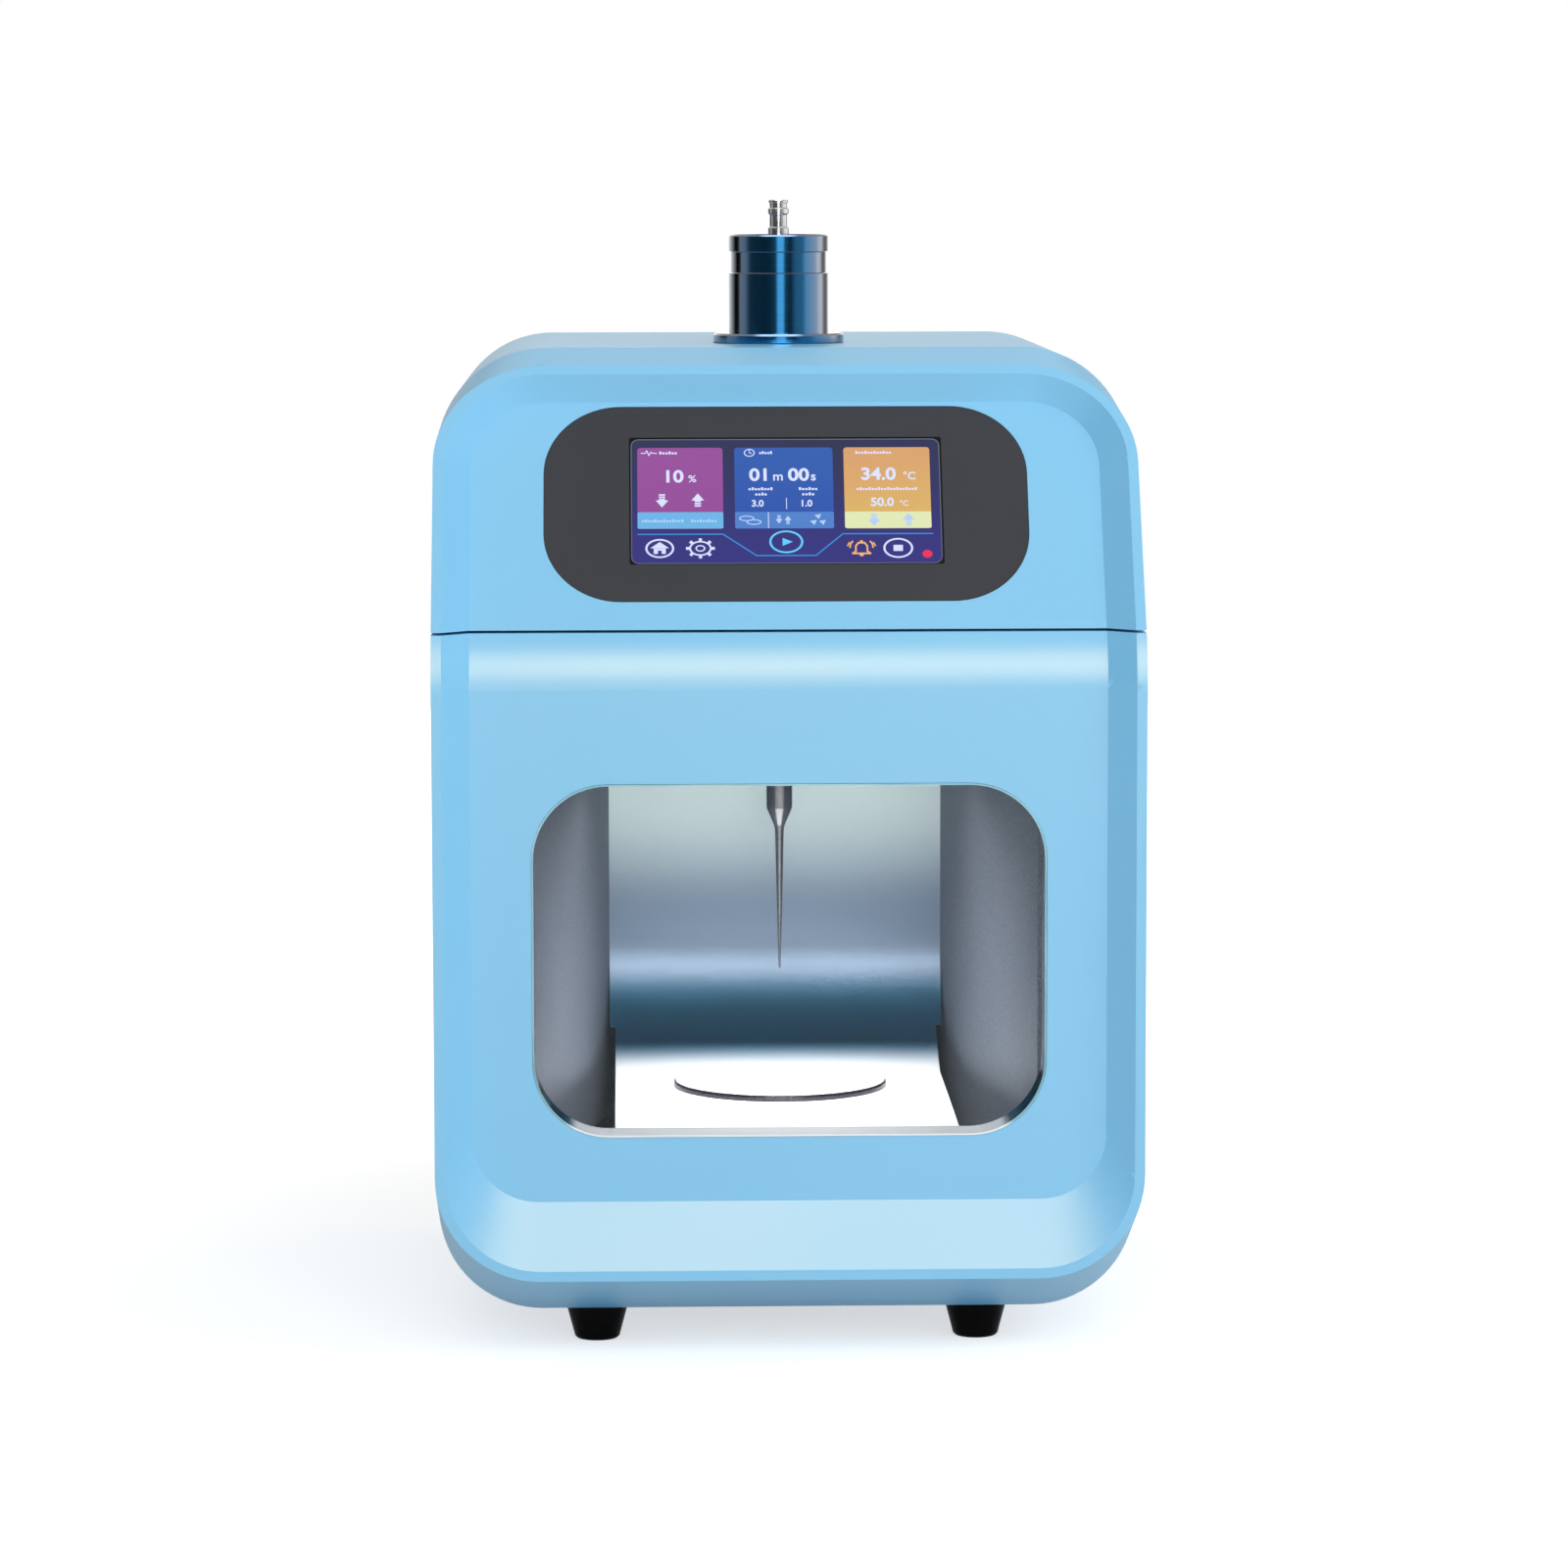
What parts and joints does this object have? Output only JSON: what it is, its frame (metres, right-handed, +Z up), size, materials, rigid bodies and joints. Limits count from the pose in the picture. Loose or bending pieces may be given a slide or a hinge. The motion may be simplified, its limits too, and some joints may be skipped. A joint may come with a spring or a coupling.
{
  "type": "probe sonicator",
  "caption": "Bench probe sonicator: rounded blue body, tilted touch screen, windowed door on a sample chamber, lift-out converter with horn and needle tip.",
  "frame": {"origin": "on the bench under the middle of the body, which is also under the probe's axis", "axes": "+Z up along the probe's axis, +X to the right as seen from the front, +Y from the front to the back"},
  "size_m": [0.271, 0.294, 0.4417],
  "materials": {
    "shell_blue": "smooth satin-gloss sky-blue plastic",
    "bezel_charcoal": "satin charcoal surround",
    "screen_glass": "lit colour touch screen under clear glass",
    "display_black": "black display frame",
    "circuit_green": "solder-masked circuit board",
    "chamber_grey": "speckled grey powder coat",
    "chamber_steel": "bead-blasted stainless sheet",
    "seal_black": "black rubber",
    "foot_black": "glossy black rubber",
    "steel_plain": "zinc-plated steel",
    "screw_steel": "bright screws",
    "panel_grey": "light grey powder coat",
    "fan_black": "black moulded plastic",
    "inlet_black": "black moulded plastic",
    "brass_plain": "plain brass",
    "jack_grey": "light grey plastic",
    "magnet_dark": "nickel-plated magnet",
    "toroid_amber": "wound and taped copper core",
    "parts_dark": "component cases",
    "sink_aluminium": "extruded aluminium",
    "window_clear": "clear acrylic pane",
    "window_trim": "polished lining ring",
    "anodised_blue": "dark blue anodised, turned",
    "connector_nickel": "nickel-plated",
    "ceramic_pale": "fired ceramic",
    "copper_sheet": "copper shim",
    "titanium": "turned titanium alloy"
  },
  "bodies": {
    "housing": {"left_housing": "shell_blue", "right_housing": "shell_blue", "top_housing": "shell_blue", "head_deck": "shell_blue", "head_cover": "shell_blue", "bezel_panel": "bezel_charcoal", "touch_glass": "screen_glass", "display_module": "display_black", "control_board": "circuit_green", "front_bulkhead": "chamber_grey", "chamber_back_sheet": "chamber_steel", "chamber_side_left": "chamber_grey", "chamber_side_right": "chamber_grey", "chamber_ceiling": "chamber_steel", "horn_seal": "seal_black", "sample_stage": "chamber_steel", "mount_sleeve": "sink_aluminium", "sleeve_screws": "screw_steel", "base_plate": "steel_plain", "rubber_feet": "foot_black", "foot_screws": "screw_steel", "rear_panel": "panel_grey", "rear_screws": "screw_steel", "fan_frame": "fan_black", "fan_guard": "screw_steel", "fan_screws": "screw_steel", "power_inlet": "inlet_black", "inlet_blades": "brass_plain", "switch_frame": "inlet_black", "temperature_jack": "jack_grey", "jack_nut": "connector_nickel", "magnet_catch": "magnet_dark", "hinge_pins": "screw_steel", "toroid_transformer": "toroid_amber", "transformer_clamp": "steel_plain", "generator_board": "circuit_green", "board_components": "parts_dark", "board_standoffs": "brass_plain", "heat_sink": "sink_aluminium"},
    "door": {"door_shell": "shell_blue", "window_trim": "window_trim", "window_pane": "window_clear", "door_liner": "chamber_grey", "door_gasket": "seal_black", "hinge_bushes": "brass_plain", "strike_plate": "steel_plain"},
    "converter": {"converter_housing": "anodised_blue", "converter_lid": "anodised_blue", "signal_connector": "connector_nickel", "connector_core": "brass_plain", "piezo_discs": "ceramic_pale", "electrode_shims": "copper_sheet", "front_mass": "sink_aluminium", "back_mass": "steel_plain", "stack_bolt": "screw_steel", "booster_horn": "titanium", "micro_tip": "titanium"},
    "rocker": {"switch_rocker": "inlet_black"},
    "fan": {"fan_rotor": "fan_black"},
    "drawer": {"fuse_drawer": "inlet_black"}
  },
  "joints": [
    {"name": "door_hinge", "type": "hinge", "parent": "housing", "child": "door", "pos_m": [-0.127, -0.1106, 0.17], "axis": [0, 0, -1], "range_deg": [0, 90]},
    {"name": "converter_lift", "type": "slide", "parent": "housing", "child": "converter", "axis": [0, 0, 1], "range_m": [0, 0.262]},
    {"name": "switch_tilt", "type": "hinge", "parent": "housing", "child": "rocker", "pos_m": [0.028, 0.1408, 0.052], "axis": [0, 0, -1], "range_deg": [0, 20]},
    {"name": "fan_spin", "type": "hinge", "parent": "housing", "child": "fan", "pos_m": [0.058, 0.127, 0.3], "axis": [0, 1, 0], "continuous": true},
    {"name": "drawer_slide", "type": "slide", "parent": "housing", "child": "drawer", "axis": [0, 1, 0], "range_m": [0, 0.015]}
  ]
}
